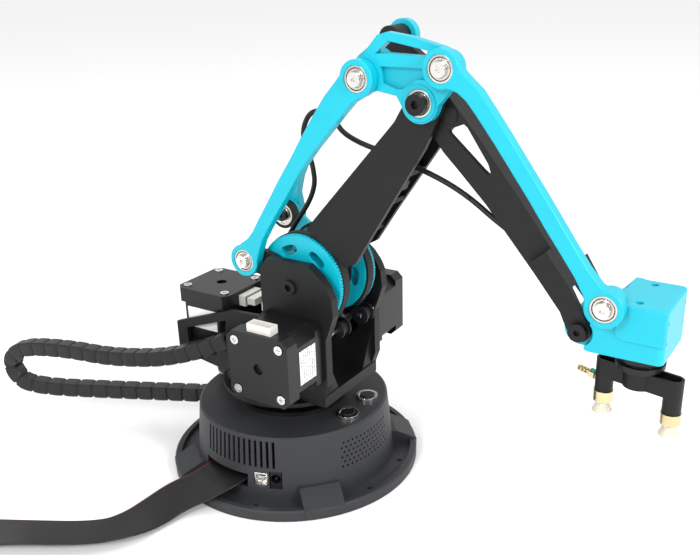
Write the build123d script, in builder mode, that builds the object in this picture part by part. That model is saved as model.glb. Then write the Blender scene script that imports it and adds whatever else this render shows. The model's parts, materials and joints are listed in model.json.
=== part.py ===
from build123d import *
import os
from math import atan2, cos, degrees, hypot, pi, radians, sin

os.makedirs("parts", exist_ok=True)

# ---------------------------------------------------------------- driving sizes, mm
# linkage, seen from the near side: x forward, z up
ARM = 138.0  # shoulder to elbow, elbow to wrist, and every long link
ARM_ANGLE = 53.5
FORE_ANGLE = -50.4
SHOULDER = (24.2, 133.4)
REAR_OFFSET = (-33.3, 10.7)  # shoulder to rear link pin, elbow to its upper pin
FRONT_OFFSET = (14.4, 18.2)  # elbow to front link pin, wrist to head link pin
CRANK = 45.0
CRANK_ANGLE = 142.5

# layers across the machine, distance from the middle plane
PLATE_OUT = 30.4
PLATE_IN = 24.4
LINK_OUT = 30.0
LINK_IN = 24.0
ELBOW_OUT = 23.6
ELBOW_IN = 18.4
ARM_OUT = 18.0
ARM_WALL = 3.4
WHEEL_OUT = 19.2
WHEEL_IN = 9.6
ROD_IN = 22.3
ROD_OUT = 27.4
CHORD_OUT = 12.5

# standard parts
BEARING_R = 7.0
BEARING_BORE = 2.5
BEARING_W = 5.0
PIN_R = 2.44
HUB_R = 9.8
MOTOR = 42.3
MOTOR_LENGTH = 34.3
CAP_LENGTH = 9.6
MOTOR_HOLES = 31.0
PULLEY_R = 6.1
WHEEL_R = 28.3
SEAT_R = 27.6
BELT_R = 28.0
BELT_T = 1.3
BELT_W = 6.0
NEAR_MOTOR = (25.0, 95.2)
REAR_MOTOR_X = -54.6
REAR_MOTOR_TOP = 112.4
IDLER = (47.0, 105.7)
AZIMUTH_R = 26.7

# base
FLANGE_R = 80.7
FLANGE_H = 6.85
DRUM_R = 65.4
DRUM_TOP_R = 61.3
DRUM_H = 45.4
RECESS_R = 76.5
RECESS_Z = 3.8
WALL = 2.6
BUTTON_R = 49.4
BUTTON_ANGLES = (-11.0, 19.0)


def polar(origin, length, angle):
    return (origin[0] + length * cos(radians(angle)), origin[1] + length * sin(radians(angle)))


ELBOW = polar(SHOULDER, ARM, ARM_ANGLE)
WRIST = polar(ELBOW, ARM, FORE_ANGLE)
PIN_F = (SHOULDER[0] + REAR_OFFSET[0], SHOULDER[1] + REAR_OFFSET[1])
PIN_T1 = (ELBOW[0] + REAR_OFFSET[0], ELBOW[1] + REAR_OFFSET[1])
PIN_T2 = (ELBOW[0] + FRONT_OFFSET[0], ELBOW[1] + FRONT_OFFSET[1])
PIN_H = (WRIST[0] + FRONT_OFFSET[0], WRIST[1] + FRONT_OFFSET[1])
PIN_C = polar(SHOULDER, CRANK, CRANK_ANGLE)
PIN_R_ROD = polar(ELBOW, CRANK, CRANK_ANGLE)
HEAD_X = 221.4
TOOL_TURN = -12.0


# ---------------------------------------------------------------- helpers
def side(y, origin=(0.0, 0.0), angle=0.0):
    """A plane across the machine at y whose first axis runs along angle; it faces the near side."""
    a = radians(angle)
    return Plane(origin=(origin[0], y, origin[1]), x_dir=(cos(a), 0, sin(a)), z_dir=(0, -1, 0))


def side_disc(p, radius, y_near, y_far, mode=Mode.ADD):
    """A disc about the point p, between the two distances y."""
    with BuildSketch(side(y_near, p)) as s:
        Circle(radius)
    extrude(s.sketch, amount=-(y_far - y_near), mode=mode)


def side_shape(points, y_near, y_far, origin=(0.0, 0.0), angle=0.0, mode=Mode.ADD, rounding=0.0):
    """A prism of that outline, between the two distances y."""
    with BuildSketch(side(y_near, origin, angle)) as s:
        Polygon(*points, align=None)
        if rounding:
            fillet(s.vertices(), rounding)
    extrude(s.sketch, amount=-(y_far - y_near), mode=mode)


def up_disc(x, y, radius, z0, z1, mode=Mode.ADD):
    """An upright disc between two heights."""
    with BuildSketch(Plane.XY.offset(z0)) as s:
        with Locations((x, y)):
            Circle(radius)
    extrude(s.sketch, amount=z1 - z0, mode=mode)


def block(x0, x1, y0, y1, z0, z1, mode=Mode.ADD):
    with Locations(((x0 + x1) / 2, (y0 + y1) / 2, (z0 + z1) / 2)):
        Box(x1 - x0, y1 - y0, z1 - z0, mode=mode)


def save(part, name):
    part.label = name
    export_step(part, f"parts/{name}.step")
    print(f"{name}: {part.volume:.0f} mm3, {len(part.solids())} solids")


def bearings(points, y_near):
    """Shielded ball bearings with their near faces at y_near."""
    y_far = y_near + BEARING_W
    with BuildPart() as b:
        for p in points:
            side_disc(p, BEARING_R - 0.02, y_near, y_far)
            for a, c in ((y_near, y_near + 0.5), (y_far - 0.5, y_far)):
                with BuildSketch(side(a, p)):
                    Circle(5.9)
                    Circle(4.1, mode=Mode.SUBTRACT)
                extrude(amount=-(c - a), mode=Mode.SUBTRACT)
            side_disc(p, BEARING_BORE, y_near, y_far, Mode.SUBTRACT)
    return b.part


def headed_pin(p, y_tip, y_head, y_top, head_r, socket_r=1.45):
    """A pin from y_tip to its round head, which has a hexagon socket. Runs in builder mode."""
    side_disc(p, PIN_R, min(y_tip, y_head), max(y_tip, y_head))
    side_disc(p, head_r, min(y_head, y_top), max(y_head, y_top))
    inward = 1 if y_top < y_head else -1
    depth = abs(y_top - y_head) * 0.6
    with BuildSketch(side(y_top, p)) as s:
        RegularPolygon(socket_r, 6)
    extrude(s.sketch, amount=-inward * depth, mode=Mode.SUBTRACT)


# ---------------------------------------------------------------- base
def base_housing():
    with BuildPart() as base:
        with BuildSketch(Plane.XZ):
            with BuildLine():
                Polyline(
                    (0, DRUM_H - 3),
                    (DRUM_TOP_R - WALL - 1, DRUM_H - 3),
                    (DRUM_R - WALL, RECESS_Z),
                    (DRUM_R - WALL, 2.0),
                    (DRUM_R - WALL, 0),
                    (FLANGE_R, 0),
                    (FLANGE_R, FLANGE_H - 1),
                    (FLANGE_R - 1, FLANGE_H),
                    (RECESS_R, FLANGE_H),
                    (RECESS_R - 0.6, RECESS_Z),
                    (DRUM_R, RECESS_Z),
                    (DRUM_TOP_R + 0.2, DRUM_H - 1.2),
                    (DRUM_TOP_R - 1, DRUM_H),
                    (0, DRUM_H),
                    close=True,
                )
            make_face()
        revolve(axis=Axis.Z)
        for angle in (-128, -42, 42, 138):
            with BuildSketch(Plane.XZ.rotated((0, 0, angle))):
                Polygon(
                    (DRUM_R - 2.5, 1), (FLANGE_R - 0.6, 1), (FLANGE_R - 0.6, FLANGE_H - 0.2),
                    (DRUM_R + 1, 14), (DRUM_R - 2.5, 14), align=None,
                )
            extrude(amount=12.5, both=True)
        for quarter in range(4):
            for side_angle in (-15, 15):
                a = radians(90 * quarter + side_angle)
                up_disc(71.5 * cos(a), 71.5 * sin(a), 1.7, -1, 9, Mode.SUBTRACT)
        # the cooling slots, the grille and the openings for the sockets
        for i in range(14):
            with Locations(Location((0, 0, 34.2), (0, 0, -111.5 + 3.5 * i)) * Location((62, 0, 0))):
                Box(12, 1.7, 17.6, mode=Mode.SUBTRACT)
        for row in range(6):
            for i in range(13):
                turn = -27 + 3.1 * i + (1.55 if row % 2 else 0)
                height = 21 + 3.1 * row
                with Locations(Location((0, 0, height), (0, 0, turn)) * Location((63, 0, 0), (0, 90, 0))):
                    Cylinder(0.75, 12, mode=Mode.SUBTRACT)
        with Locations(Location((0, 0, 15.2), (0, 0, -98)) * Location((63, 0, 0))):
            Box(16, 36.5, 9.0, mode=Mode.SUBTRACT)
        with Locations(Location((0, 0, 17.5), (0, 0, -73.6)) * Location((62, 0, 0))):
            Box(14, 8.9, 8.9, mode=Mode.SUBTRACT)
        with Locations(Location((0, 0, 17.5), (0, 0, -65.2)) * Location((62, 0, 0))):
            Box(14, 8.0, 11.6, mode=Mode.SUBTRACT)
        with Locations(Location((0, 0, 31.0), (0, 0, 187.4)) * Location((62, 0, 0))):
            Box(14, 15, 13, mode=Mode.SUBTRACT)
        up_disc(0, 0, 9.0, DRUM_H - 5, DRUM_H + 2, Mode.SUBTRACT)
        for angle in BUTTON_ANGLES:
            a = radians(angle)
            up_disc(BUTTON_R * cos(a), BUTTON_R * sin(a), 6.1, DRUM_H - 5, DRUM_H + 2, Mode.SUBTRACT)
    return base.part


def bottom_cover():
    with BuildPart() as cover:
        up_disc(0, 0, DRUM_R - WALL - 0.3, 0, 2.2)
        for angle in (45, 135, 225, 315):
            a = radians(angle)
            up_disc(55 * cos(a), 55 * sin(a), 2.6, -1, 0.9, Mode.SUBTRACT)
            up_disc(55 * cos(a), 55 * sin(a), 1.6, -1, 3, Mode.SUBTRACT)
    return cover.part


def usb_socket():
    with BuildPart() as usb:
        with Locations(Location((0, 0, 17.5), (0, 0, -73.6)) * Location((58.4, 0, 0))):
            Box(10, 8.2, 8.6)
        with Locations(Location((0, 0, 17.5), (0, 0, -73.6)) * Location((61.4, 0, 0))):
            Box(8, 6.9, 6.9, mode=Mode.SUBTRACT)
        with Locations(Location((0, 0, 17.9), (0, 0, -73.6)) * Location((59.4, 0, 0))):
            Box(7, 4.2, 3.0)
    return usb.part


def power_socket():
    with BuildPart() as jack:
        with Locations(Location((0, 0, 17.5), (0, 0, -65.2)) * Location((58.5, 0, 0))):
            Box(9.6, 6.8, 11.2)
        with Locations(Location((0, 0, 18.2), (0, 0, -65.2)) * Location((60, 0, 0), (0, 90, 0))):
            Cylinder(3.1, 8, mode=Mode.SUBTRACT)
        with Locations(Location((0, 0, 18.2), (0, 0, -65.2)) * Location((59, 0, 0), (0, 90, 0))):
            Cylinder(1.0, 7)
    return jack.part


def ribbon_header():
    with BuildPart() as header:
        with Locations(Location((0, 0, 15.0), (0, 0, -98)) * Location((53.8, 0, 0))):
            Box(9, 35.5, 8.2)
        with Locations(Location((0, 0, 15.4), (0, 0, -98)) * Location((57.0, 0, 0))):
            Box(5, 34.4, 3.4, mode=Mode.SUBTRACT)
    return header.part


def button_bezels():
    with BuildPart() as bezels:
        for angle in BUTTON_ANGLES:
            x = BUTTON_R * cos(radians(angle))
            y = BUTTON_R * sin(radians(angle))
            up_disc(x, y, 7.0, DRUM_H + 0.02, DRUM_H + 1.9)
            up_disc(x, y, 5.95, DRUM_H - 11, DRUM_H + 1.0)
            up_disc(x, y, 4.6, DRUM_H - 6, DRUM_H + 3, Mode.SUBTRACT)
            up_disc(x, y, 5.3, DRUM_H + 1.2, DRUM_H + 3, Mode.SUBTRACT)
    return bezels.part


def push_button(angle):
    x = BUTTON_R * cos(radians(angle))
    y = BUTTON_R * sin(radians(angle))
    with BuildPart() as b:
        up_disc(x, y, 4.5, DRUM_H - 3.2, DRUM_H + 2.5)
        fillet(b.faces().sort_by(Axis.Z)[-1].edges(), 0.6)
    return b.part


def bearing_ring():
    with BuildPart() as ring:
        up_disc(0, 0, 34.5, DRUM_H + 0.02, DRUM_H + 2.2)
        up_disc(0, 0, 9.4, DRUM_H - 1, DRUM_H + 4, Mode.SUBTRACT)
    return ring.part


def azimuth_wheel():
    with BuildPart() as wheel:
        up_disc(0, 0, AZIMUTH_R, DRUM_H + 2.24, DRUM_H + 11.2)
        up_disc(0, 0, AZIMUTH_R - 1.2, DRUM_H + 3.4, DRUM_H + 10.2, Mode.ADD)
        up_disc(0, 0, 10.2, DRUM_H, DRUM_H + 12, Mode.SUBTRACT)
    return wheel.part


# ---------------------------------------------------------------- turret
FLOOR_Z = 66.0
PLATE = [
    (3.2, 104), (3.2, 142.0), (8.4, 148.8), (38, 148.8), (46.3, 142.1), (50.8, 136.2),
    (53.4, 130.5), (54.3, 120.3), (51.5, 112), (48.5, 104), (48.5, 74), (44, FLOOR_Z - 4),
    (8, FLOOR_Z - 4), (3.2, 74),
]


def turret_frame():
    with BuildPart() as frame:
        for s in (-1, 1):
            y_near = -PLATE_OUT if s < 0 else PLATE_IN
            y_far = -PLATE_IN if s < 0 else PLATE_OUT
            side_shape(PLATE, y_near, y_far)
        # the floor of the U, the pedestal and its neck
        block(-30, 46, -PLATE_OUT + 1, PLATE_OUT - 1, FLOOR_Z - 7, FLOOR_Z)
        for s in (-1, 1):
            with BuildSketch(Plane.YZ.offset(3.3)):
                Polygon(
                    (s * PLATE_IN, FLOOR_Z - 1), (s * PLATE_IN, FLOOR_Z + 22),
                    (s * (PLATE_IN - 11), FLOOR_Z - 1),
                    align=None,
                )
            extrude(amount=42)
        up_disc(0, 0, 30.0, DRUM_H + 11.6, FLOOR_Z - 2)
        up_disc(0, 0, 44.8, DRUM_H + 11.6, DRUM_H + 14.2)
        # the cradle of the rear motor: a shelf under it, a back wall and two side walls with windows
        block(-73.5, -28, -24.6, 24.6, FLOOR_Z + 9.0, FLOOR_Z + 12)
        block(-32, -27, -24.6, 24.6, FLOOR_Z - 7, FLOOR_Z + 12)
        for s in (-1, 1):
            y_near = -25.6 if s < 0 else 22.4
            y_far = -22.4 if s < 0 else 25.6
            side_shape([(-73.5, 69), (-73.5, 90), (-27, 106.5), (3.4, 108), (3.4, 62),
                (-27, 62)], y_near, y_far)
            window = [(-65, 76.5), (-65, 87), (-31, 99.0), (-33, 88.5)]
            side_shape(window, y_near - 1, y_far + 1, mode=Mode.SUBTRACT)
        # holes for the rear motor's shaft boss, and through the plates for the motors' bosses and axles
        up_disc(REAR_MOTOR_X, 0, 11.4, 60, FLOOR_Z + 14, Mode.SUBTRACT)
        for s in (-1, 1):
            y_near = -PLATE_OUT - 1 if s < 0 else PLATE_IN - 1
            y_far = -PLATE_IN + 1 if s < 0 else PLATE_OUT + 1
            side_disc(NEAR_MOTOR, 11.4, y_near, y_far, Mode.SUBTRACT)
            side_disc(SHOULDER, 4.03, y_near, y_far, Mode.SUBTRACT)
            side_disc(IDLER, 1.53, y_near + (3 if s < 0 else 0), y_far - (0 if s < 0 else 3), Mode.SUBTRACT)
        # the ear that carries the rear link's pin, inside the near plate
        side_disc(PIN_F, 8.6, -23.4, -20.0)
        side_shape([(-9, 135.6), (14, 132), (14, 146), (9, 148.6), (-9, 152.6)], -23.4, -20.0)
        side_shape([(3.4, 134), (14, 132), (14, 146), (9, 148), (3.4, 141.5)], -PLATE_IN - 0.4, -23.2)
        side_disc(PIN_F, 2.5, -30, -18, Mode.SUBTRACT)
        # the clamp of the cable carrier, on the near wall of the cradle
        block(-19.2, -16.4, -40, -25.2, 84, 98)
    return frame.part


def azimuth_spindle():
    with BuildPart() as spindle:
        up_disc(0, 0, 8.6, DRUM_H - 9, DRUM_H + 11.6)
        up_disc(0, 0, 13.0, DRUM_H - 9, DRUM_H - 5.4)
    return spindle.part


def motor_body(plane):
    """A stepping motor whose rear cap face lies on the plane, its length running behind it."""
    half = MOTOR / 2
    with BuildPart() as motor:
        for start, length, corner in (
            (0, CAP_LENGTH, 3.7),
            (CAP_LENGTH, MOTOR_LENGTH - CAP_LENGTH - 7, 7.2),
            (MOTOR_LENGTH - 7, 7, 3.7),
        ):
            with BuildSketch(plane.offset(-start)) as s:
                Rectangle(MOTOR, MOTOR)
                chamfer(s.vertices(), corner)
            extrude(amount=-length)
        with BuildSketch(plane.offset(-MOTOR_LENGTH)):
            Circle(10.9)
        extrude(amount=-2.0)
        with BuildSketch(plane):
            Circle(3.4)
        extrude(amount=-2.2, mode=Mode.SUBTRACT)
        with BuildSketch(plane):
            with GridLocations(MOTOR_HOLES, MOTOR_HOLES, 2, 2):
                Circle(3.0)
        extrude(amount=-1.2, mode=Mode.SUBTRACT)
        with BuildSketch(plane.offset(-2.4)):
            with Locations((0, half - 1.6)):
                Rectangle(17.2, 3.4)
        extrude(amount=-7.4, mode=Mode.SUBTRACT)
        with BuildSketch(plane.offset(-MOTOR_LENGTH - 2)):
            Circle(2.9)
        extrude(amount=MOTOR_LENGTH - 4, mode=Mode.SUBTRACT)
    return motor.part


NEAR_CAP = Plane(origin=(NEAR_MOTOR[0], -64.7, NEAR_MOTOR[1]), x_dir=(1, 0, 0), z_dir=(0, -1, 0))
FAR_CAP = Plane(origin=(NEAR_MOTOR[0], 64.7, NEAR_MOTOR[1]), x_dir=(-1, 0, 0), z_dir=(0, 1, 0))
REAR_CAP = Plane(origin=(REAR_MOTOR_X, 0, REAR_MOTOR_TOP), x_dir=(0, -1, 0), z_dir=(0, 0, 1))
CAPS = (NEAR_CAP, FAR_CAP, REAR_CAP)


def motor_screws():
    with BuildPart() as screws:
        for plane in CAPS:
            for sx in (-1, 1):
                for sy in (-1, 1):
                    with BuildSketch(plane.offset(-1.18)):
                        with Locations((sx * MOTOR_HOLES / 2, sy * MOTOR_HOLES / 2)):
                            Circle(2.75)
                    extrude(amount=1.9)
                    with BuildSketch(plane.offset(0.75)):
                        with Locations((sx * MOTOR_HOLES / 2, sy * MOTOR_HOLES / 2)):
                            Rectangle(3.2, 0.7)
                            Rectangle(0.7, 3.2)
                    extrude(amount=-0.9, mode=Mode.SUBTRACT)
    return screws.part


def motor_connectors():
    half = MOTOR / 2
    with BuildPart() as headers:
        for plane in CAPS:
            with BuildSketch(plane.offset(-2.6)):
                with Locations((0, half + 0.9)):
                    Rectangle(16.8, 8.0)
            extrude(amount=-7.0)
            with BuildSketch(plane.offset(-3.6)):
                with Locations((0, half + 2.1)):
                    Rectangle(14.6, 6.2)
            extrude(amount=-5.0, mode=Mode.SUBTRACT)
            for k in range(4):
                with BuildSketch(plane.offset(-5.6)):
                    with Locations((-4.5 + 3 * k, half + 1.4)):
                        Rectangle(0.7, 5.2)
                extrude(amount=-0.7)
        # the plug on the rear motor
        with BuildSketch(REAR_CAP.offset(-3.85)):
            with Locations((0, half + 8.4)):
                Rectangle(13.8, 6.2)
        extrude(amount=-4.5)
    return headers.part


def motor_labels():
    half = MOTOR / 2
    with BuildPart() as labels:
        with Locations((NEAR_MOTOR[0] + half + 0.1, -45.7, 95.6)):
            Box(0.16, 15.5, 21)
        with Locations((NEAR_MOTOR[0] - half - 0.1, 45.7, 95.6)):
            Box(0.16, 15.5, 21)
        with Locations((REAR_MOTOR_X, -half - 0.1, 93.6)):
            Box(24, 0.16, 14)
    return labels.part


def motor_pulley(plane, reach):
    """A 20-tooth pulley with its shaft; the belt runs at that reach beyond the motor's front face."""
    with BuildPart() as pulley:
        with BuildSketch(plane.offset(-MOTOR_LENGTH + 4)):
            Circle(2.5)
        extrude(amount=-reach - 4.0)
        for start, length, radius in ((-4.7, 1.4, 7.6), (-3.3, 6.6, PULLEY_R), (3.3, 1.4, 7.6)):
            with BuildSketch(plane.offset(-MOTOR_LENGTH - reach - start)):
                Circle(radius)
            extrude(amount=-length)
    return pulley.part


def shoulder_axle():
    with BuildPart() as axle:
        side_disc(SHOULDER, 4.0, -PLATE_OUT - 0.1, PLATE_OUT + 0.1)
        for s in (-1, 1):
            y = s * (PLATE_OUT + 1.6)
            side_disc(SHOULDER, 4.6, min(y, s * (PLATE_OUT + 0.04)), max(y, s * (PLATE_OUT + 0.04)))
            with BuildSketch(side(y, SHOULDER)):
                RegularPolygon(2.3, 6)
            extrude(amount=s * 2.4, mode=Mode.SUBTRACT)
    return axle.part


def turret_pins():
    with BuildPart() as pins:
        headed_pin(PIN_F, -20.2, -29.9, -32.2, 3.8)
        side_disc(IDLER, 1.5, -PLATE_OUT + 3.5, -8.4)
        side_disc(IDLER, 1.5, 8.4, PLATE_OUT - 3.5)
    return pins.part


def tangent_belt(centre_a, radius_a, centre_b, radius_b):
    """The outline of a belt about two circles, as two arcs and two straight runs. Runs in line mode."""
    d = hypot(centre_b[0] - centre_a[0], centre_b[1] - centre_a[1])
    along = degrees(atan2(centre_b[1] - centre_a[1], centre_b[0] - centre_a[0]))
    lean = degrees(acos_of((radius_a - radius_b) / d))
    a1 = polar(centre_a, radius_a, along + lean)
    a2 = polar(centre_a, radius_a, along + 180)
    a3 = polar(centre_a, radius_a, along - lean)
    b1 = polar(centre_b, radius_b, along - lean)
    b2 = polar(centre_b, radius_b, along)
    b3 = polar(centre_b, radius_b, along + lean)
    ThreePointArc(a1, a2, a3)
    Line(a3, b1)
    ThreePointArc(b1, b2, b3)
    Line(b3, a1)


def acos_of(value):
    return atan2((1 - value * value) ** 0.5, value)


def belt(plane, centre_a, radius_a, centre_b, radius_b):
    with BuildPart() as b:
        with BuildSketch(plane):
            with BuildLine():
                tangent_belt(centre_a, radius_a + BELT_T, centre_b, radius_b + BELT_T)
            make_face()
            with BuildLine():
                tangent_belt(centre_a, radius_a, centre_b, radius_b)
            make_face(mode=Mode.SUBTRACT)
        extrude(amount=BELT_W)
    return b.part


def idler(y_near, y_far):
    with BuildPart() as roller:
        side_disc(IDLER, 4.4, y_near, y_far)
        side_disc(IDLER, 5.8, y_near, y_near + 1.0)
        side_disc(IDLER, 5.8, y_far - 1.0, y_far)
        side_disc(IDLER, 1.56, y_near - 1, y_far + 1, Mode.SUBTRACT)
    return roller.part


# ---------------------------------------------------------------- shoulder wheels and crank
WINDOWS = 6
WINDOW_ANGLE = 51.5


def curved_slot(radius, half_width, half_angle):
    """The outline of a curved slot with round ends, about the origin and across the first axis."""
    turns = [half_angle * k / 4 for k in range(-4, 5)]
    outline = [polar((0, 0), radius + half_width, a) for a in turns]
    high_end = polar((0, 0), radius, half_angle)
    outline += [polar(high_end, half_width, half_angle + 36 * k) for k in range(1, 5)]
    outline += [polar((0, 0), radius - half_width, a) for a in reversed(turns)]
    low_end = polar((0, 0), radius, -half_angle)
    outline += [polar(low_end, half_width, 180 - half_angle + 36 * k) for k in range(1, 5)]
    return outline


def toothed_wheel(near):
    """A 90-tooth wheel with its toothed face outwards, a belt seat behind it and six curved windows."""
    with BuildPart() as wheel:
        if near:
            side_disc(SHOULDER, WHEEL_R, -WHEEL_OUT, -WHEEL_OUT + 2.9)
            side_disc(SHOULDER, SEAT_R, -WHEEL_OUT + 2.9, -WHEEL_IN)
        else:
            side_disc(SHOULDER, SEAT_R, WHEEL_IN, WHEEL_OUT - 2.9)
            side_disc(SHOULDER, WHEEL_R, WHEEL_OUT - 2.9, WHEEL_OUT)
        for i in range(WINDOWS):
            slot = curved_slot(19.8, 2.9, 9)
            side_shape(slot, -25, 25, SHOULDER, WINDOW_ANGLE + i * 360 / WINDOWS, Mode.SUBTRACT)
        side_disc(SHOULDER, 4.06, -25, 25, Mode.SUBTRACT)
    return wheel.part


def crank_lever():
    angle = CRANK_ANGLE
    with BuildPart() as lever:
        outline = [(0, -10), (30, -6.5), (CRANK - 4, -6.5), (CRANK - 4, 6.5), (30, 6.5), (0, 10)]
        side_shape(outline, WHEEL_OUT, 21.9, SHOULDER, angle)
        side_disc(SHOULDER, 10.0, WHEEL_OUT, 21.9)
        side_disc(PIN_C, 9.0, WHEEL_OUT, 21.9)
        side_disc(PIN_C, 6.0, WHEEL_OUT - 1, 23.0, Mode.SUBTRACT)
        side_disc(SHOULDER, 4.06, 10, 25, Mode.SUBTRACT)
    return lever.part


def crank_hub():
    with BuildPart() as hub:
        side_disc(PIN_C, 9.0, 14.2, WHEEL_OUT)
        side_disc(PIN_C, BEARING_R, 14.0, WHEEL_OUT, Mode.SUBTRACT)
    return hub.part


def crank_pin():
    with BuildPart() as pin:
        headed_pin(PIN_C, 28.4, 13.9, 11.9, 3.8)
        side_disc(PIN_C, 3.8, 27.84, 29.6)
    return pin.part


# ---------------------------------------------------------------- upper arm
ARM_REAR = [(29.8, 15.4), (118, 7.4), (130, 8.6), (ARM, 10.4)]
NEAR_FRONT = [(ARM, -10.4), (128, -12.6), (118, -14.4), (60, -18.6), (36, -20.6), (29.8, -17)]
FAR_FRONT = [(ARM, -10.4), (128, -10.6), (105, -11.4), (60, -12.6), (36, -13.8), (29.8, -11)]


def upper_arm():
    walls = (
        (-ARM_OUT, -ARM_OUT + ARM_WALL, NEAR_FRONT),
        (ARM_OUT - ARM_WALL, ARM_OUT, FAR_FRONT),
    )
    with BuildPart() as arm:
        for y_near, y_far, front in walls:
            side_shape(ARM_REAR + front, y_near, y_far, SHOULDER, ARM_ANGLE)
            side_disc(ELBOW, 10.4, y_near, y_far)
        # the web, the cross ribs and the hub between the wheels
        side_shape([(29.8, 1), (108, 1), (108, 3.6), (29.8, 3.6)], -15, 15, SHOULDER, ARM_ANGLE)
        for s in (47, 70, 93):
            side_shape([(s, 2), (s + 1.8, 2), (s + 1.8, -11.2), (s, -12.6)], -15, 15, SHOULDER, ARM_ANGLE)
            front = [(s - 3, -9), (s + 1.8, -9), (s + 1.8, -15.4), (s - 3, -16.6)]
            side_shape(front, -15, -9, SHOULDER, ARM_ANGLE)
        side_shape([(29.8, -11), (32.4, -12), (32.4, 15.0), (29.8, 15.2)], -15, 15, SHOULDER, ARM_ANGLE)
        side_shape([(0, -14), (33, -11), (33, 12), (0, 12)], -WHEEL_IN, 9.2, SHOULDER, ARM_ANGLE)
        side_disc(SHOULDER, 18, -WHEEL_IN, 9.2)
        # bores, and the gap that the cable passes through
        side_disc(SHOULDER, 4.06, -25, 25, Mode.SUBTRACT)
        side_disc(ELBOW, 4.0, -25, 25, Mode.SUBTRACT)
    return arm.part


def elbow_axle():
    with BuildPart() as axle:
        side_disc(ELBOW, 3.98, -ARM_OUT, ARM_OUT)
        side_disc(ELBOW, PIN_R, -25.0, ARM_OUT)
        for y0, y1 in ((-28.6, -24.7), (ARM_OUT, 20.4)):
            side_disc(ELBOW, 5.4, y0, y1)
        for y, depth in ((-28.6, 2.4), (20.4, -1.4)):
            with BuildSketch(side(y, ELBOW)):
                RegularPolygon(2.3, 6)
            extrude(amount=-depth, mode=Mode.SUBTRACT)
    return axle.part


# ---------------------------------------------------------------- links
REAR_LINK = [
    (2, 8.4), (8, 7.3), (14, 5.3), (20, 4.9), (30, 5.7), (45, 6.6), (60, 7.7), (75, 8.2), (90, 9.2),
    (105, 9.8), (118, 10.0), (128, 9.0), (134, 8.6), (134, -8.6), (126, -5.2), (118, -4.2), (105, -3.0),
    (90, -1.4), (75, -0.8), (60, -1.4), (30, -2.6), (20, -3.4), (12, -5.6), (4, -8.4),
]
FRONT_LINK = [
    (2, 9.2), (8, 8.6), (14, 9.4), (20, 10.6), (30, 10.3), (45, 9.7), (60, 8.8), (75, 8.0), (90, 7.0),
    (105, 5.9), (118, 5.1), (128, 5.6), (135, 8.6), (135, -8.6), (128, -4.8), (118, -3.0), (105, -2.2),
    (90, -1.4), (75, -0.2), (60, 0.6), (45, 1.4), (30, 1.8), (20, 1.8), (14, 0.4), (8, -4.2), (3, -8.6),
]
REAR_GROOVE = [
    (18, 2.8), (30, 3.6), (60, 5.6), (90, 7.0), (118, 7.8), (120, -2.0), (105, -0.8), (75, 1.4), (30, -0.6),
]
FRONT_GROOVE = [
    (17, 7.8), (30, 8.2), (60, 6.8), (90, 4.9), (120, 3.0), (120, -0.8), (90, 0.7), (60, 2.7),
    (30, 3.9), (17, 3.6),
]


def link(outline, groove, a, b, angle):
    """A flat link with a hub and a bearing bore at each end, hollowed from its hidden side."""
    with BuildPart() as part:
        side_shape(outline, -LINK_OUT, -LINK_IN, a, angle)
        for p in (a, b):
            side_disc(p, HUB_R, -LINK_OUT, -LINK_IN)
        side_shape(groove, -LINK_OUT + 2.6, -LINK_IN, a, angle, Mode.SUBTRACT)
        outer = part.faces().filter_by(Axis.Y).sort_by(Axis.Y)[0]
        chamfer(outer.outer_wire().edges(), 0.5)
        for p in (a, b):
            side_disc(p, BEARING_R, -LINK_OUT - 1, -24.6, Mode.SUBTRACT)
            side_disc(p, 5.8, -LINK_OUT - 1, -LINK_IN + 1, Mode.SUBTRACT)
    return part.part


def elbow_plate():
    outline = [
        (-35.0, 19.4), (-24, 32.0), (-18.5, 33.6), (-3.5, 31.6), (13.1, 27.6), (20.6, 24.0), (22.8, 17.0),
        (18.0, 8.5), (10.1, -1), (-9.6, -3.0), (-13.0, 2.8), (-24.6, 4.6), (-31.0, 2.2), (-41.0, 8.0),
    ]
    slot = [(-25.2, 22.9), (-17.8, 29.4), (4.6, 25.6), (3.6, 22.8), (-19.0, 23.4)]
    panel = [(-22.0, 16.8), (2.4, 17.0), (3.0, 11.5), (-1.0, 11.8), (-9.4, 6.4), (-13.0, 6.2), (-20.6, 8.6)]
    with BuildPart() as plate:
        side_shape(outline, -ELBOW_OUT, -ELBOW_IN, ELBOW)
        for p, radius in ((PIN_T1, 8.8), (PIN_T2, 8.4), (ELBOW, 10.2)):
            side_disc(p, radius, -ELBOW_OUT, -ELBOW_IN)
        side_disc(ELBOW, 9.2, -24.3, -ELBOW_OUT)
        side_shape(slot, -30, -10, ELBOW, mode=Mode.SUBTRACT)
        side_shape(panel, -30, -ELBOW_OUT + 3.0, ELBOW, mode=Mode.SUBTRACT)
        side_disc(ELBOW, BEARING_R, -30, -19.1, Mode.SUBTRACT)
        side_disc(ELBOW, 5.9, -30, -10, Mode.SUBTRACT)
        for p in (PIN_T1, PIN_T2):
            side_disc(p, PIN_R + 0.02, -30, -10, Mode.SUBTRACT)
    return plate.part


def elbow_pins():
    with BuildPart() as pins:
        for p in (PIN_T1, PIN_T2):
            headed_pin(p, -18.6, -29.9, -32.2, 3.8)
    return pins.part


ROD = [
    (2, 8.2), (14, 12.5), (24, 16.0), (36, 17.4), (98, 17.6), (112, 15.4), (124, 11.6), (136, 8.4),
    (136, -8.2), (129, -3.6), (118, 4.6), (104, 8.6), (36, 8.8), (24, 6.6), (14, 2.6), (6, -6.0),
]


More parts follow.
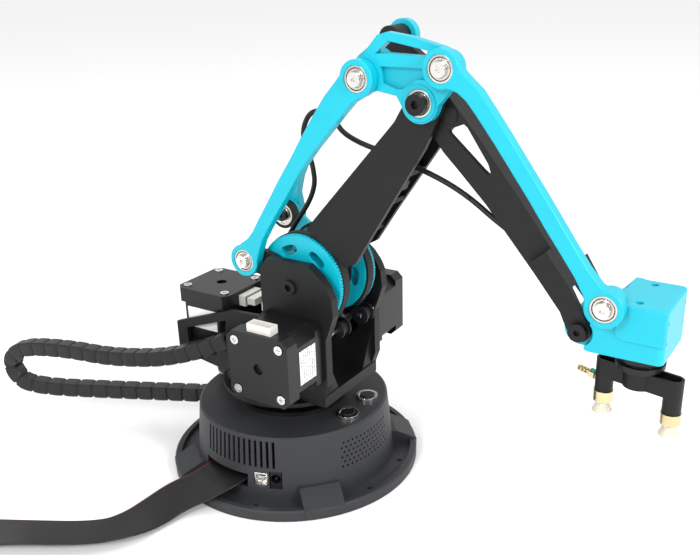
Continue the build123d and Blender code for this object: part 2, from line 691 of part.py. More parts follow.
def drive_rod():
    with BuildPart() as rod:
        side_shape(ROD, ROD_IN, ROD_OUT, PIN_C, ARM_ANGLE)
        for p in (PIN_C, PIN_R_ROD):
            side_disc(p, 8.6, ROD_IN, ROD_OUT)
        groove = [(24, 12.0), (34, 14.6), (ARM - 40, 15.2), (ARM - 24, 11.6), (ARM - 36, 11.0), (36, 11.0)]
        side_shape(groove, ROD_IN - 1, ROD_IN + 1.8, PIN_C, ARM_ANGLE, Mode.SUBTRACT)
        side_shape(groove, ROD_OUT - 1.8, ROD_OUT + 1, PIN_C, ARM_ANGLE, Mode.SUBTRACT)
        for p in (PIN_C, PIN_R_ROD):
            side_disc(p, BEARING_R, ROD_IN + 0.5, ROD_OUT + 1, Mode.SUBTRACT)
            side_disc(p, 5.8, ROD_IN - 1, ROD_OUT + 1, Mode.SUBTRACT)
    return rod.part


# ---------------------------------------------------------------- forearm
def forearm():
    top = [(4, 9.6), (30, 10.8), (70, 10.6), (118, 9.0), (118, 6.4), (70, 7.8), (30, 8.4), (4, 7.2)]
    under = [(4, -9.4), (25, -10.2), (40, -8.6), (60, -6.8), (118, -5.8), (118, -3.4), (60, -4.0),
        (4, -7.0)]
    face = [
        (0, -9.6), (25, -10.2), (40, -8.6), (60, -6.8), (80, -6.0), (118, -5.6), (118, 9.0),
        (70, 10.6), (30, 10.8),
        (0, 9.8),
    ]
    window = [(17.5, -1.0), (20.5, 8.2), (23, 8.8), (44, 6.9), (48, 5.4), (48, 3.4), (45, 2.6), (20, -1.4)]
    with BuildPart() as fore:
        # a plate on the near side, flanges along both edges and a shorter plate on the far side
        side_shape(face, -CHORD_OUT, -CHORD_OUT + 3.5, ELBOW, FORE_ANGLE)
        side_shape(top, -CHORD_OUT, CHORD_OUT, ELBOW, FORE_ANGLE)
        side_shape(under, -CHORD_OUT, CHORD_OUT, ELBOW, FORE_ANGLE)
        side_shape([(56, -6), (118, -5), (118, 8.6), (56, 10)], CHORD_OUT - 3, CHORD_OUT, ELBOW, FORE_ANGLE)
        side_shape(window, -20, -5, ELBOW, FORE_ANGLE, Mode.SUBTRACT)
        side_shape([(15, -12), (52, -12), (52, 1), (15, 1)], -3, 20, ELBOW, FORE_ANGLE, Mode.SUBTRACT)
        side_disc(ELBOW, 10.0, -CHORD_OUT, CHORD_OUT)
        side_disc(polar(ELBOW, 13.3, FORE_ANGLE + 20), 4.4, -CHORD_OUT - 0.8, -CHORD_OUT + 3)
        # the rear arm out to the drive rod
        rear = [(0, 8.5), (26, 5.2), (CRANK, 5.2), (CRANK, -5.2), (26, -5.2), (0, -7.5)]
        side_shape(rear, 8.0, 13.4, ELBOW, CRANK_ANGLE)
        side_disc(PIN_R_ROD, 6.0, 8.0, 21.9)
        # the fork about the head
        near_tongue = [(96, -2.4), (125, -2.6), (130, -4.0), (ARM, -5.6), (ARM, 5.6), (130, 7.0),
            (118, 9.0), (96, 9.6)]
        far_tongue = [(110, -5.0), (130, -5.0), (ARM, -5.6), (ARM, 5.6), (130, 7.0), (110, 9.4)]
        for y_near, y_far, tongue in ((-19.2, -15.4, near_tongue), (15.4, 19.2, far_tongue)):
            side_shape(tongue, y_near, y_far, ELBOW, FORE_ANGLE)
            side_disc(WRIST, 5.9, y_near, y_far)
        side_shape([(96, -3.6), (118, -3.4), (118, 9.0), (96, 9.6)], -15.6, -12, ELBOW, FORE_ANGLE)
        side_shape([(110, -5.0), (118, -5.0), (118, 9.0), (110, 9.4)], 12, 15.6, ELBOW, FORE_ANGLE)
        side_shape([(72, -9), (100, -9), (100, -2.5),
            (72, -2.5)], -5.6, -0.4, ELBOW, FORE_ANGLE, Mode.SUBTRACT)
        side_disc(ELBOW, 4.05, -30, 30, Mode.SUBTRACT)
        side_disc(PIN_R_ROD, PIN_R + 0.02, 0, 30, Mode.SUBTRACT)
        side_disc(WRIST, PIN_R + 0.02, -30, 30, Mode.SUBTRACT)
    return fore.part


def wrist_pins():
    with BuildPart() as pins:
        side_disc(WRIST, PIN_R, -19.3, 19.3)
        for s in (-1, 1):
            y0 = s * 19.24
            y1 = s * 22.4
            side_disc(WRIST, 4.7, min(y0, y1), max(y0, y1))
            with BuildSketch(side(y1, WRIST)):
                RegularPolygon(1.8, 6)
            extrude(amount=s * 2.0, mode=Mode.SUBTRACT)
    return pins.part


def rod_pin():
    with BuildPart() as pin:
        side_disc(PIN_R_ROD, PIN_R, 8.6, 28.0)
        side_disc(PIN_R_ROD, 3.8, 27.84, 29.6)
        with BuildSketch(side(29.6, PIN_R_ROD)):
            RegularPolygon(1.45, 6)
        extrude(amount=1.4, mode=Mode.SUBTRACT)
    return pin.part


# ---------------------------------------------------------------- head and tool
HEAD_Z0 = 128.6
HEAD_Z1 = 156.6
HEAD_X1 = 236.6


def head_block():
    wx, wz = WRIST
    hx, hz = PIN_H
    with BuildPart() as head:
        # the wide block over the tool
        with BuildSketch(Plane.XY.offset(HEAD_Z0)) as s:
            with Locations(((hx + 1.5 + HEAD_X1) / 2, 0)):
                Rectangle(HEAD_X1 - hx - 1.5, 40.6)
            fillet(s.vertices().group_by(Axis.X)[-1], 3.4)
        extrude(amount=HEAD_Z1 - HEAD_Z0)
        top = head.faces().sort_by(Axis.Z)[-1]
        fillet(top.edges().filter_by(GeomType.LINE).sort_by(Axis.X)[-1], 1.6)
        # cheeks on both sides, carrying the link pin and running down to the wrist
        cheek = [
            (wx + 3.4, HEAD_Z0 + 0.6), (wx + 6, HEAD_Z0), (hx + 6, HEAD_Z0), (hx + 6, HEAD_Z1),
            (hx + 2, HEAD_Z1 + 1), (hx - 5.0, hz + 5.4), (hx - 7.4, hz), (wx + 6, wz + 6),
        ]
        side_shape(cheek, -20.3, -14.8)
        side_disc(PIN_H, 7.4, -20.3, -14.8)
        far_cheek = [
            (wx + 3.4, HEAD_Z0 + 0.6), (wx + 6, HEAD_Z0), (hx + 6, HEAD_Z0), (hx + 6, HEAD_Z1),
            (hx + 1.5, HEAD_Z1),
            (wx + 6, wz + 7),
        ]
        side_shape(far_cheek, 14.8, 20.3)
        # the tongue between the forearm's fork
        tongue = [(wx, wz - 8.8), (wx + 6, HEAD_Z0), (hx + 6, HEAD_Z0), (hx + 6, HEAD_Z1),
            (wx + 2, wz + 8.6)]
        side_shape(tongue, -14.8, 14.8)
        side_disc(WRIST, 8.9, -14.8, 14.8)
        side_disc(WRIST, 7.6, -21, -14.8, Mode.SUBTRACT)
        side_disc(WRIST, 7.6, 14.8, 21, Mode.SUBTRACT)
        side_disc(PIN_H, 6.0, -23.5, -20.3)
        # the hollow for the servo, and the screw holes
        block(hx + 6.5, HEAD_X1 - 2.6, -6.4, 16.5, HEAD_Z0 - 1, HEAD_Z1 - 5.0, Mode.SUBTRACT)
        for y in (-13.7, 13.7):
            up_disc(HEAD_X, y, 1.9, HEAD_Z1 - 4, HEAD_Z1 + 1, Mode.SUBTRACT)
        for y in (-16.0, 16.0):
            for z in (139.0, 149.5):
                with Locations(Location((HEAD_X1, y, z), (0, 90, 0))):
                    Cylinder(0.8, 5, mode=Mode.SUBTRACT)
        side_disc(WRIST, 2.5, -30, 30, Mode.SUBTRACT)
        side_disc(PIN_H, PIN_R + 0.02, -25, -10, Mode.SUBTRACT)
    return head.part


def servo():
    with BuildPart() as s:
        block(PIN_H[0] + 6.9, HEAD_X1 - 3.0, -6.0, 16.1, HEAD_Z0 + 0.4, HEAD_Z1 - 5.4)
        up_disc(HEAD_X, 0, 5.6, HEAD_Z0 - 1.6, HEAD_Z0 + 1)
    return s.part


def head_pin():
    with BuildPart() as pin:
        headed_pin(PIN_H, -12.0, -29.9, -32.2, 3.9)
    return pin.part


def tool_horn():
    with BuildPart() as horn:
        up_disc(HEAD_X, 0, 11.6, 122.0, 126.6)
        up_disc(HEAD_X, 0, 12.6, 118.0, 120.6)
        up_disc(HEAD_X, 0, 10.4, 116.12, 122.0)
        for k in range(4):
            a = radians(45 + 90 * k)
            up_disc(HEAD_X + 7.6 * cos(a), 7.6 * sin(a), 1.1, 125.4, 127, Mode.SUBTRACT)
    return horn.part


def tool_place(u, v=0.0):
    """A point on the tool, u along the bar from its axis."""
    a = radians(TOOL_TURN)
    return (HEAD_X + u * cos(a) - v * sin(a), u * sin(a) + v * cos(a))


LEG = 19.0


def tool_holder():
    with BuildPart() as holder:
        with BuildSketch(Plane.XY.offset(106.5)) as s:
            with Locations(Location((HEAD_X, 0, 0), (0, 0, TOOL_TURN))):
                SlotCenterToCenter(2 * LEG, 9.6)
                Circle(8.0)
        extrude(amount=9.6)
        with BuildSketch(Plane.XY.offset(109.0)):
            with Locations(Location((HEAD_X, 0, 0), (0, 0, TOOL_TURN))):
                SlotCenterToCenter(2 * LEG, 7.0)
        extrude(amount=8, mode=Mode.SUBTRACT)
        for u in (-LEG, LEG):
            x, y = tool_place(u)
            up_disc(x, y, 4.8, 97.6, 108.0)
            up_disc(x, y, 2.2, 97.0, 105.0, Mode.SUBTRACT)
        up_disc(HEAD_X, 0, 7.4, 108.0, 116.0)
    return holder.part


def hose_barb():
    """The ribbed nozzle on the rear leg. Runs in builder mode."""
    x, y = tool_place(-LEG - 5.25)
    a = radians(TOOL_TURN + 180)
    axis = Plane(origin=(x, y, 104.2), x_dir=(0, 0, 1), z_dir=(cos(a), sin(a), 0.12))
    with BuildSketch(axis) as nut:
        RegularPolygon(3.0, 6)
    extrude(nut.sketch, amount=3.0)
    with BuildSketch(axis.offset(3.0)) as tube:
        Circle(1.5)
    extrude(tube.sketch, amount=7.6)
    for k in range(3):
        with BuildSketch(axis.offset(4.6 + 2.0 * k)) as wide:
            Circle(2.1)
        extrude(wide.sketch, amount=1.5, taper=22)


def cup_fittings():
    with BuildPart() as rings:
        for u in (-LEG, LEG):
            x, y = tool_place(u)
            up_disc(x, y, 5.3, 91.6, 97.5)
            up_disc(x, y, 5.0, 93.6, 95.2)
            up_disc(x, y, 2.15, 97.4, 103)
            up_disc(x, y, 1.2, 91, 104, Mode.SUBTRACT)
            up_disc(x, y, 3.6, 91, 93.4, Mode.SUBTRACT)
        hose_barb()
    return rings.part


def suction_cups():
    with BuildPart() as cups:
        for u in (-LEG, LEG):
            x, y = tool_place(u)
            up_disc(x, y, 3.5, 89.0, 93.3)
            with BuildSketch(Plane.XY.offset(89.2)):
                with Locations((x, y)):
                    Circle(3.6)
            with BuildSketch(Plane.XY.offset(85.6)):
                with Locations((x, y)):
                    Circle(5.4)
            loft()
            up_disc(x, y, 5.4, 85.0, 85.6)
            up_disc(x, y, 1.1, 84, 94, Mode.SUBTRACT)
            up_disc(x, y, 4.5, 84, 86.4, Mode.SUBTRACT)
    return cups.part


# ---------------------------------------------------------------- cables
CHAIN_R = 5.2
CHAIN_ROUTE = [
    (-22, -34.0, 91.0), (-56, -40.5, 74.0), (-108, -50.0, 65.0), (-148, -57.5, 66.0), (-184, -65.0, 62.5),
    (-195, -67.5, 53.0), (-195, -67.0, 40.0), (-184, -63.5, 31.0), (-130, -38.0, 30.0), (-62, -8.0, 31.0),
]
CABLE_R = 1.5
LOWER_ROUTE = [
    (-12.0, 0.0, 66.2), (-14.0, 0.0, 118.0), (2.0, 0.5, 154.0), (24.5, 0.5, 183.0), (23.0, 0.0, 202.0),
    (17.5, 0.0, 210.0), (17.5, 0.0, 221.5), (24.5, 0.0, 231.5), (37.0, 0.0, 230.0), (48.0, 0.0, 216.0),
    (74.0, 0.0, 211.5),
]
UPPER_ROUTE = [
    (86.0, -3.0, 208.4), (103.0, -3.0, 203.8), (124.0, -3.0, 194.8), (143.0, -3.0, 181.6),
    (162.0, -3.0, 171.0),
]


def spans(points):
    """The lengths of the runs and the turns between them, as (length, turn in degrees)."""
    lengths = []
    for a, b in zip(points, points[1:]):
        lengths.append((Vector(b) - Vector(a)).length)
    turns = []
    for a, b, c in zip(points, points[1:], points[2:]):
        turns.append((Vector(b) - Vector(a)).get_angle(Vector(c) - Vector(b)))
    return lengths, turns


def bend_radii(points):
    lengths, turns = spans(points)
    radii = []
    for i, turn in enumerate(turns):
        reach = 0.45 * min(lengths[i], lengths[i + 1])
        radii.append(reach / tangent_of(turn / 2))
    return radii


def tangent_of(angle):
    return sin(radians(angle)) / cos(radians(angle))


def cord(points, radius, name):
    """A round cord along straight runs joined by tangent arcs."""
    radii = bend_radii(points)
    line = FilletPolyline(*points, radius=radii, close=False)
    start = Plane(origin=points[0], z_dir=Vector(points[1]) - Vector(points[0]))
    with BuildPart() as c:
        with BuildLine():
            add(line)
        with BuildSketch(start):
            Circle(radius)
        sweep()
    length = line.length
    print(name, "length", round(length, 1), "bend radii", [round(r, 1) for r in radii])
    print(name, "volume", round(c.part.volume, 1),
        "section times length", round(pi * radius**2 * length, 1))
    return c.part


RIBBON_W = 33.0
RIBBON_T = 0.9
# centre of the ribbon, the heading that it runs in, and how far its near edge is lifted, in degrees
RIBBON = [
    (-7.9, -56.3, 15.4, 262, 0), (-9.9, -69.2, 14.8, 255, 0), (-18.5, -77.5, 9.2, 246, 0),
    (-28.4, -86.5, 4.6, 242, 0), (-32.0, -103.0, 2.2, 240, 0), (-34.5, -121.5, 3.6, 236, 8),
    (-46.0, -140.0, 4.9, 211, 13), (-92.0, -164.5, 4.9, 208, 13), (-122.0, -180.5, 1.2, 208, 0),
]
FOLD_START = (-122.0, -180.5)
FOLD_HEADING = 208
FOLD_RUN = 50.0
FOLD_STEP = 3.4
FOLDS = 2


def fold_place(out, z):
    a = radians(FOLD_HEADING)
    return ((FOLD_START[0] + out * cos(a), FOLD_START[1] + out * sin(a), z), FOLD_HEADING, 0)


def ribbon_sections():
    """The cross-sections that the ribbon passes through: its open run, then the flat folds of its end."""
    made = [((x, y, z), heading, lift) for x, y, z, heading, lift in RIBBON]
    for fold in range(FOLDS):
        z0 = 1.2 + FOLD_STEP * fold
        out = 0.0 if fold % 2 else FOLD_RUN
        made.append(fold_place(out, z0))
        made.append(fold_place(out, z0 + FOLD_STEP))
    made.append(fold_place(FOLD_RUN + 6, 1.2 + FOLDS * FOLD_STEP))
    made.append(fold_place(FOLD_RUN + 26, 6.2))
    return made


def ribbon_piece(a, b):
    """One flat run of the ribbon between two cross-sections."""
    run = (Vector(b[0]) - Vector(a[0])).normalized()
    upright = abs(run.Z) > 0.9
    with BuildPart() as piece:
        for place, heading, lift in (a, b):
            h = radians(heading)
            across = Vector(-sin(h), cos(h), 0) * cos(radians(lift)) + Vector(0, 0, 1) * sin(radians(lift))
            normal = Vector(0, 0, 1) if upright else Vector(cos(h), sin(h), 0)
            with BuildSketch(Plane(origin=place, x_dir=across, z_dir=normal)):
                Rectangle(RIBBON_W, RIBBON_T)
        loft(ruled=True)
    return piece.part


def ribbon_cable():
    sections = ribbon_sections()
    whole = None
    length = 0.0
    for a, b in zip(sections, sections[1:]):
        piece = ribbon_piece(a, b)
        whole = piece if whole is None else whole + piece
        length += (Vector(b[0]) - Vector(a[0])).length
    print("ribbon length", round(length, 1))
    return whole


def ribbon_plug():
    (x, y, z), heading, _ = fold_place(FOLD_RUN + 29.2, 6.2)
    with BuildPart() as plug:
        with Locations(Location((x, y, z), (0, 0, heading))):
            Box(6.2, 37.5, 10.5)
    return plug.part


# ---------------------------------------------------------------- build everything
save(base_housing(), "base_housing")
save(bottom_cover(), "bottom_cover")
save(usb_socket(), "usb_socket")
save(power_socket(), "power_socket")
save(ribbon_header(), "ribbon_header")
save(button_bezels(), "button_bezels")
save(push_button(BUTTON_ANGLES[0]), "power_button")
save(push_button(BUTTON_ANGLES[1]), "mode_button")
save(bearing_ring(), "turntable_bearing")
save(azimuth_wheel(), "azimuth_wheel")

save(turret_frame(), "turret_frame")
save(azimuth_spindle(), "azimuth_spindle")
save(motor_body(NEAR_CAP), "motor_near")
save(motor_body(FAR_CAP), "motor_far")
save(motor_body(REAR_CAP), "motor_rear")
save(motor_screws(), "motor_screws")
save(motor_connectors(), "motor_connectors")
save(motor_labels(), "motor_labels")
save(motor_pulley(NEAR_CAP, 17.2), "motor_pulley_near")
save(motor_pulley(FAR_CAP, 17.2), "motor_pulley_far")
save(motor_pulley(REAR_CAP, 25.9), "motor_pulley_rear")
save(shoulder_axle(), "shoulder_axle")
save(turret_pins(), "turret_pins")
save(belt(side(-10.2), SHOULDER, BELT_R, NEAR_MOTOR, PULLEY_R + 0.3), "belt_near")
save(belt(side(16.2), SHOULDER, BELT_R, NEAR_MOTOR, PULLEY_R + 0.3), "belt_far")
save(
    belt(Plane.XY.offset(DRUM_H + 3.8), (0, 0), AZIMUTH_R + 0.3, (REAR_MOTOR_X, 0), PULLEY_R + 0.3),
    "azimuth_belt",
)
save(idler(-17.2, -9.2), "idler_near")
save(idler(9.2, 17.2), "idler_far")

save(toothed_wheel(True), "arm_wheel")
save(upper_arm(), "upper_arm")
save(elbow_axle(), "elbow_axle")
save(toothed_wheel(False), "crank_wheel")
save(crank_lever(), "crank_lever")
save(crank_hub(), "crank_hub")
save(bearings([PIN_C], 14.2), "crank_bearing")
save(crank_pin(), "crank_pin")
save(link(REAR_LINK, REAR_GROOVE, PIN_F, PIN_T1, ARM_ANGLE), "rear_link")
save(bearings([PIN_F, PIN_T1], -29.6), "rear_link_bearings")
save(elbow_plate(), "elbow_plate")
save(bearings([ELBOW], -24.1), "elbow_bearing")
save(elbow_pins(), "elbow_pins")
save(link(FRONT_LINK, FRONT_GROOVE, PIN_T2, PIN_H, FORE_ANGLE), "front_link")
save(bearings([PIN_T2, PIN_H], -29.6), "front_link_bearings")
save(drive_rod(), "drive_rod")
save(bearings([PIN_C, PIN_R_ROD], ROD_IN + 0.5), "drive_rod_bearings")
save(forearm(), "forearm")
save(wrist_pins(), "wrist_pins")
save(rod_pin(), "rod_pin")

save(head_block(), "head_block")
save(servo(), "servo")
save(head_pin(), "head_pin")
save(tool_horn(), "tool_horn")
save(tool_holder(), "tool_holder")
save(cup_fittings(), "cup_fittings")
save(suction_cups(), "suction_cups")

save(cord(CHAIN_ROUTE, CHAIN_R, "cable_carrier"), "cable_carrier")
save(cord(LOWER_ROUTE, CABLE_R, "arm_cable_lower"), "arm_cable_lower")
save(cord(UPPER_ROUTE, CABLE_R, "arm_cable_upper"), "arm_cable_upper")
save(ribbon_cable(), "ribbon_cable")
save(ribbon_plug(), "ribbon_plug")
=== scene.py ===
import bpy
import json
from math import cos, pi, radians, sin
from mathutils import Matrix, Vector


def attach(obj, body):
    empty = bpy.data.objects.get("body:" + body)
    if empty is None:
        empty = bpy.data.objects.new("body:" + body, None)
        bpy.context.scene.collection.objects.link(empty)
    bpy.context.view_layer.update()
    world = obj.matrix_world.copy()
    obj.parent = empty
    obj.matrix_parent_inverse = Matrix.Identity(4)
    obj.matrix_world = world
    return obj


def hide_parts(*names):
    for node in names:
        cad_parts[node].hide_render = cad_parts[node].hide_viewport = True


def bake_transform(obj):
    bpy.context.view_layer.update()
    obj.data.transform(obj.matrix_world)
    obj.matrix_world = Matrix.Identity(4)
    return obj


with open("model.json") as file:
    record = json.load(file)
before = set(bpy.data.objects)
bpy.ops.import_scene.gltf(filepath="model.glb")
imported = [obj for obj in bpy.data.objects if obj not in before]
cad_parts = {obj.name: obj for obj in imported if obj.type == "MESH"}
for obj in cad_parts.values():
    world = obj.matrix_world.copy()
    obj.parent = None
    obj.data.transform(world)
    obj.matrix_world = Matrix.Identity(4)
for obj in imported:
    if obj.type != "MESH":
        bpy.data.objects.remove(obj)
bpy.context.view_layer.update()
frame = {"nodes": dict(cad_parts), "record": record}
nodes = frame["nodes"]
MM = 0.001


def mm(x, y, z):
    return Vector((x * MM, y * MM, z * MM))


# ---------------------------------------------------------------- camera
AZIMUTH, ELEVATION, ROLL = radians(31.86), radians(22.4), radians(-1.14)
back = Vector((sin(AZIMUTH) * cos(ELEVATION), -cos(AZIMUTH) * cos(ELEVATION), sin(ELEVATION)))
level = Vector((cos(AZIMUTH), sin(AZIMUTH), 0))
upright = back.cross(level)
right = level * cos(ROLL) + upright * sin(ROLL)
up = upright * cos(ROLL) - level * sin(ROLL)
camera = bpy.data.objects.new("camera", bpy.data.cameras.new("camera"))
camera.data.lens = 45.95
camera.data.shift_x = -0.0294
camera.data.shift_y = 0.0401
camera.data.clip_end = 60
axes = Matrix((right, up, back)).transposed().to_4x4()
camera.matrix_world = Matrix.Translation((0.32058, -0.41788, 0.32112)) @ axes
bpy.context.scene.collection.objects.link(camera)
bpy.context.scene.camera = camera
bpy.context.scene.view_settings.view_transform = "Standard"


# ---------------------------------------------------------------- materials
def link(tree, a, b):
    tree.links.new(a, b)


def finish_of(name, colour, rough, metal=0.0, grain=1400.0, bump=0.12, tone=0.1, edge=0.25,
    round_off=0.0003, coat=0.0,
              spread=0.08, brushed=None, specular=0.35):
    """A surface with fine grain, uneven colour and gloss, softened edges and a painted highlight along them.
    """
    material = bpy.data.materials.new(name)
    material.use_nodes = True
    tree = material.node_tree
    shader = tree.nodes["Principled BSDF"]
    shader.inputs["Metallic"].default_value = metal
    shader.inputs["Coat Weight"].default_value = coat
    shader.inputs["Coat Roughness"].default_value = 0.2
    place = tree.nodes.new("ShaderNodeTexCoord")
    spread_out = tree.nodes.new("ShaderNodeMapping")
    spread_out.inputs["Scale"].default_value = brushed or (1, 1, 1)
    link(tree, place.outputs["Object"], spread_out.inputs["Vector"])
    fine = tree.nodes.new("ShaderNodeTexNoise")
    fine.inputs["Scale"].default_value = grain
    fine.inputs["Detail"].default_value = 4
    link(tree, spread_out.outputs["Vector"], fine.inputs["Vector"])
    wide = tree.nodes.new("ShaderNodeTexNoise")
    wide.inputs["Scale"].default_value = 45
    wide.inputs["Detail"].default_value = 3
    link(tree, place.outputs["Object"], wide.inputs["Vector"])
    shades = tree.nodes.new("ShaderNodeValToRGB")
    shades.color_ramp.elements[0].position = 0.3
    shades.color_ramp.elements[1].position = 0.7
    shades.color_ramp.elements[0].color = [c * (1 - tone) for c in colour] + [1]
    shades.color_ramp.elements[1].color = [min(1, c * (1 + tone)) for c in colour] + [1]
    link(tree, wide.outputs["Fac"], shades.inputs["Fac"])
    bevel = tree.nodes.new("ShaderNodeBevel")
    bevel.samples = 4
    bevel.inputs["Radius"].default_value = round_off
    geometry = tree.nodes.new("ShaderNodeNewGeometry")
    # Painted highlight: at edges, where the softened normal leans away from the true normal, the colour is
    # mixed towards a lighter tone.
    facing = tree.nodes.new("ShaderNodeVectorMath")
    facing.operation = "DOT_PRODUCT"
    link(tree, bevel.outputs["Normal"], facing.inputs[0])
    link(tree, geometry.outputs["Normal"], facing.inputs[1])
    painted_edge_highlight = tree.nodes.new("ShaderNodeMapRange")
    shader.inputs["Specular IOR Level"].default_value = specular
    painted_edge_highlight.inputs["From Min"].default_value = 1.0
    painted_edge_highlight.inputs["From Max"].default_value = 0.75
    painted_edge_highlight.inputs["To Max"].default_value = edge
    link(tree, facing.outputs["Value"], painted_edge_highlight.inputs["Value"])
    mixed = tree.nodes.new("ShaderNodeMix")
    mixed.data_type = "RGBA"
    mixed.inputs[7].default_value = [min(1, c * 1.5 + 0.02) for c in colour] + [1]
    link(tree, painted_edge_highlight.outputs["Result"], mixed.inputs[0])
    link(tree, shades.outputs["Color"], mixed.inputs[6])
    link(tree, mixed.outputs[2], shader.inputs["Base Color"])
    gloss = tree.nodes.new("ShaderNodeMapRange")
    gloss.inputs["From Min"].default_value = 0.3
    gloss.inputs["From Max"].default_value = 0.7
    gloss.inputs["To Min"].default_value = max(0.05, rough - spread)
    gloss.inputs["To Max"].default_value = min(1, rough + spread)
    link(tree, fine.outputs["Fac"], gloss.inputs["Value"])
    link(tree, gloss.outputs["Result"], shader.inputs["Roughness"])
    relief = tree.nodes.new("ShaderNodeBump")
    relief.inputs["Strength"].default_value = bump
    relief.inputs["Distance"].default_value = 0.0002
    link(tree, fine.outputs["Fac"], relief.inputs["Height"])
    link(tree, bevel.outputs["Normal"], relief.inputs["Normal"])
    link(tree, relief.outputs["Normal"], shader.inputs["Normal"])
    return material


def printed_label():
    """White film with rows of short grey marks in place of print."""
    material = finish_of("label_film", (0.82, 0.82, 0.8), 0.4, bump=0.03, edge=0.0)
    tree = material.node_tree
    shader = tree.nodes["Principled BSDF"]
    old = shader.inputs["Base Color"].links[0].from_socket
    place = tree.nodes.new("ShaderNodeTexCoord")
    parts = tree.nodes.new("ShaderNodeSeparateXYZ")
    link(tree, place.outputs["Object"], parts.inputs["Vector"])
    rows = tree.nodes.new("ShaderNodeMath")
    rows.operation = "MULTIPLY"
    rows.inputs[1].default_value = 2 * pi / 0.0021
    link(tree, parts.outputs["Y"], rows.inputs[0])
    wave = tree.nodes.new("ShaderNodeMath")
    wave.operation = "SINE"
    link(tree, rows.outputs["Value"], wave.inputs[0])
    squeezed = tree.nodes.new("ShaderNodeMapping")
    squeezed.inputs["Scale"].default_value = (300, 480, 1100)
    link(tree, place.outputs["Object"], squeezed.inputs["Vector"])
    marks = tree.nodes.new("ShaderNodeTexNoise")
    marks.inputs["Scale"].default_value = 1.0
    link(tree, squeezed.outputs["Vector"], marks.inputs["Vector"])
    dark = tree.nodes.new("ShaderNodeMath")
    dark.operation = "MULTIPLY"
    row_ink = tree.nodes.new("ShaderNodeMath")
    row_ink.operation = "GREATER_THAN"
    row_ink.inputs[1].default_value = 0.35
    mark_ink = tree.nodes.new("ShaderNodeMath")
    mark_ink.operation = "GREATER_THAN"
    mark_ink.inputs[1].default_value = 0.5
    link(tree, wave.outputs["Value"], row_ink.inputs[0])
    link(tree, marks.outputs["Fac"], mark_ink.inputs[0])
    link(tree, row_ink.outputs["Value"], dark.inputs[0])
    link(tree, mark_ink.outputs["Value"], dark.inputs[1])
    mixed = tree.nodes.new("ShaderNodeMix")
    mixed.data_type = "RGBA"
    mixed.inputs[7].default_value = (0.12, 0.12, 0.13, 1)
    link(tree, dark.outputs["Value"], mixed.inputs[0])
    link(tree, old, mixed.inputs[6])
    link(tree, mixed.outputs[2], shader.inputs["Base Color"])
    return material


base_grey = finish_of("base_grey", (0.026, 0.027, 0.03), 0.5, grain=2600, bump=0.3, tone=0.06, edge=0.3)
black = finish_of("black_moulding", (0.0035, 0.0035, 0.004), 0.5, grain=2200, bump=0.2, tone=0.15, edge=0.2)
black_satin = finish_of("black_lacquer", (0.003, 0.003, 0.0034), 0.42, grain=1800, bump=0.14, edge=0.3,
    coat=0.15)
cyan = finish_of("cyan_moulding", (0.0, 0.44, 0.56), 0.42, grain=1500, bump=0.06, tone=0.03, edge=0.12,
    coat=0.2,
                 round_off=0.0006)
steel = finish_of("bearing_steel", (0.62, 0.6, 0.56), 0.26, 1.0, grain=900, bump=0.05, edge=0.15,
    spread=0.06)
bright = finish_of("screw_steel", (0.78, 0.77, 0.74), 0.2, 1.0, grain=1100, bump=0.05, edge=0.1, spread=0.05)
seal = finish_of("dark_groove", (0.035, 0.032, 0.028), 0.5, 0.6, grain=1500, bump=0.1)
oxide = finish_of("black_oxide", (0.016, 0.016, 0.016), 0.34, 0.5, grain=1500, bump=0.1, edge=0.3)
turned = finish_of("turned_aluminium", (0.62, 0.62, 0.63), 0.3, 1.0, grain=1200, bump=0.1, brushed=(1, 8, 1))
ivory = finish_of("white_moulding", (0.72, 0.7, 0.65), 0.42, grain=1600, bump=0.06, tone=0.04, edge=0.1)
rubber = finish_of("cable_jacket", (0.009, 0.009, 0.009), 0.5, grain=2400, bump=0.2, tone=0.2, edge=0.1)
belt = finish_of("belt_rubber", (0.011, 0.011, 0.011), 0.62, grain=2600, bump=0.4, tone=0.2)
brass = finish_of("turned_brass", (0.74, 0.62, 0.36), 0.25, 1.0, grain=1200, bump=0.06, edge=0.1)
chain_black = finish_of("carrier_black", (0.011, 0.011, 0.0115), 0.4, grain=1900, bump=0.16, edge=0.4)
chain_bar = finish_of("carrier_bar", (0.036, 0.034, 0.031), 0.42, grain=1900, bump=0.12, edge=0.3)
silicone = finish_of("clear_silicone", (0.88, 0.82, 0.68), 0.28, grain=1200, bump=0.05, tone=0.05, edge=0.1)
silicone.node_tree.nodes["Principled BSDF"].inputs["Transmission Weight"].default_value = 0.35
silicone.node_tree.nodes["Principled BSDF"].inputs["Subsurface Weight"].default_value = 0.3
silicone.node_tree.nodes["Principled BSDF"].inputs["Subsurface Radius"].default_value = (0.004, 0.003, 0.002)
label = printed_label()
ribbon_black = finish_of("ribbon_black", (0.0085, 0.0082, 0.008), 0.34, grain=2200, bump=0.1, tone=0.15,
    edge=0.15)
ribbon_red = finish_of("ribbon_edge_red", (0.06, 0.006, 0.008), 0.42, grain=2200, bump=0.1)

FINISHES = {
    "housing_plastic": base_grey, "black_plastic": black, "cyan_plastic": cyan, "bearing_steel": steel,
    "black_metal": black_satin, "silver_steel": bright, "black_steel": oxide, "aluminium": turned,
    "white_plastic": ivory, "label_paper": label, "belt_rubber": belt, "cable_rubber": rubber,
    "brass": brass,
    "clear_silicone": silicone,
}
for part in frame["record"]["subparts"]:
    for held in nodes[part["node"]].material_slots:
        held.material = FINISHES[part["material_slot"]]


# ---------------------------------------------------------------- mesh helpers
def mesh_piece(name, verts, faces, materials, marks=None, smooth=True):
    mesh = bpy.data.meshes.new(name)
    mesh.from_pydata([tuple(v) for v in verts], [], faces)
    for material in materials:
        mesh.materials.append(material)
    for i, polygon in enumerate(mesh.polygons):
        polygon.use_smooth = smooth
        polygon.material_index = marks[i] if marks else 0
    mesh.update()
    piece = bpy.data.objects.new(name, mesh)
    bpy.context.scene.collection.objects.link(piece)
    return piece


